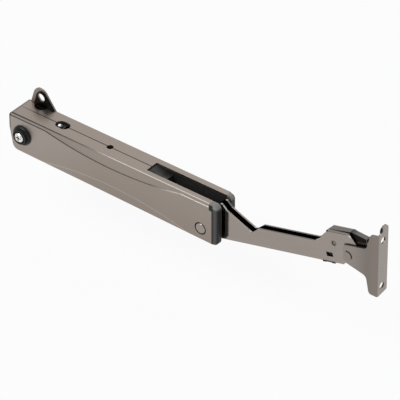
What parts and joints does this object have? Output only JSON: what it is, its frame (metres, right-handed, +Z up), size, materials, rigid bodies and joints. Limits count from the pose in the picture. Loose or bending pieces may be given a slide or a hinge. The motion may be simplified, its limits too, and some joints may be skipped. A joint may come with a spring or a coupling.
{
  "type": "lid stay",
  "caption": "Spring lid stay: slim steel case with a slotted top, a folding channel arm on a pin and a two-hole clip bracket for the lid.",
  "frame": {"origin": "on the axis of the lower fixing screw, in the rear face that lies on the cabinet side", "axes": "+X along the case from the fixed end towards the arm and lid bracket, +Y from the case into the cabinet side, +Z up"},
  "size_m": [0.2734, 0.0322, 0.0613],
  "materials": {
    "satin_shell": "satin nickel plate",
    "satin_arm": "satin nickel plate",
    "satin_bracket": "satin nickel plate",
    "dark_adapter": "darker satin plate",
    "black_liner": "black moulded, fine grain",
    "bright_screw": "bright zinc",
    "pivot_steel": "turned or ground",
    "block_metal": "cast zinc",
    "spring_steel": "oiled spring wire",
    "bearing_plastic": "natural nylon"
  },
  "bodies": {
    "case": {"rear_case_shell": "satin_shell", "front_case_shell": "satin_shell", "rear_liner": "black_liner", "front_liner": "black_liner", "lower_fixing_bush": "black_liner", "lower_fixing_screw": "bright_screw", "arm_pivot_pin": "pivot_steel", "front_arm_spacer": "bearing_plastic", "rear_arm_spacer": "bearing_plastic"},
    "adjuster": {"adjusting_screw": "bright_screw"},
    "abutment": {"spring_abutment": "block_metal", "upper_guide_rod": "pivot_steel", "lower_guide_rod": "pivot_steel", "preload_marker": "bright_screw", "upper_spring": "spring_steel", "lower_spring": "spring_steel"},
    "carriage": {"spring_carriage": "block_metal", "push_tongue": "pivot_steel", "tongue_pin_1": "pivot_steel", "tongue_pin_2": "pivot_steel"},
    "arm": {"lever_arm": "satin_arm", "arm_pivot_bush": "bearing_plastic", "cam_plate": "pivot_steel", "cam_rivet_1": "pivot_steel", "cam_rivet_2": "pivot_steel", "clip_adapter": "dark_adapter", "adapter_pin": "satin_arm", "adapter_lock": "black_liner", "bracket_rivet": "satin_arm"},
    "bracket": {"flap_bracket": "satin_bracket"}
  },
  "joints": [
    {"name": "arm_hinge", "type": "hinge", "parent": "case", "child": "arm", "pos_m": [0.137, -0.009, -0.0073], "axis": [0, -1, 0], "range_deg": [0, 134]},
    {"name": "carriage_slide", "type": "slide", "parent": "case", "child": "carriage", "axis": [-1, 0, 0], "range_m": [0, 0.0061], "deforming": ["upper_spring", "lower_spring"]},
    {"name": "abutment_slide", "type": "slide", "parent": "case", "child": "abutment", "axis": [1, 0, 0], "range_m": [0, 0.005], "deforming": ["upper_spring", "lower_spring"]},
    {"name": "adjuster_turn", "type": "hinge", "parent": "case", "child": "adjuster", "pos_m": [0, -0.009, 0.009], "axis": [1, 0, 0], "range_deg": [0, 3610]},
    {"name": "bracket_hinge", "type": "hinge", "parent": "arm", "child": "bracket", "pos_m": [0.24097, -0.009, 0.018], "axis": [0, -1, 0], "range_deg": [-40, 100]}
  ],
  "couplings": [
    {"joint": "carriage_slide", "follows": "arm_hinge", "m_per_rad": 0.0025655},
    {"joint": "adjuster_turn", "follows": "abutment_slide", "rad_per_m": 12566}
  ]
}
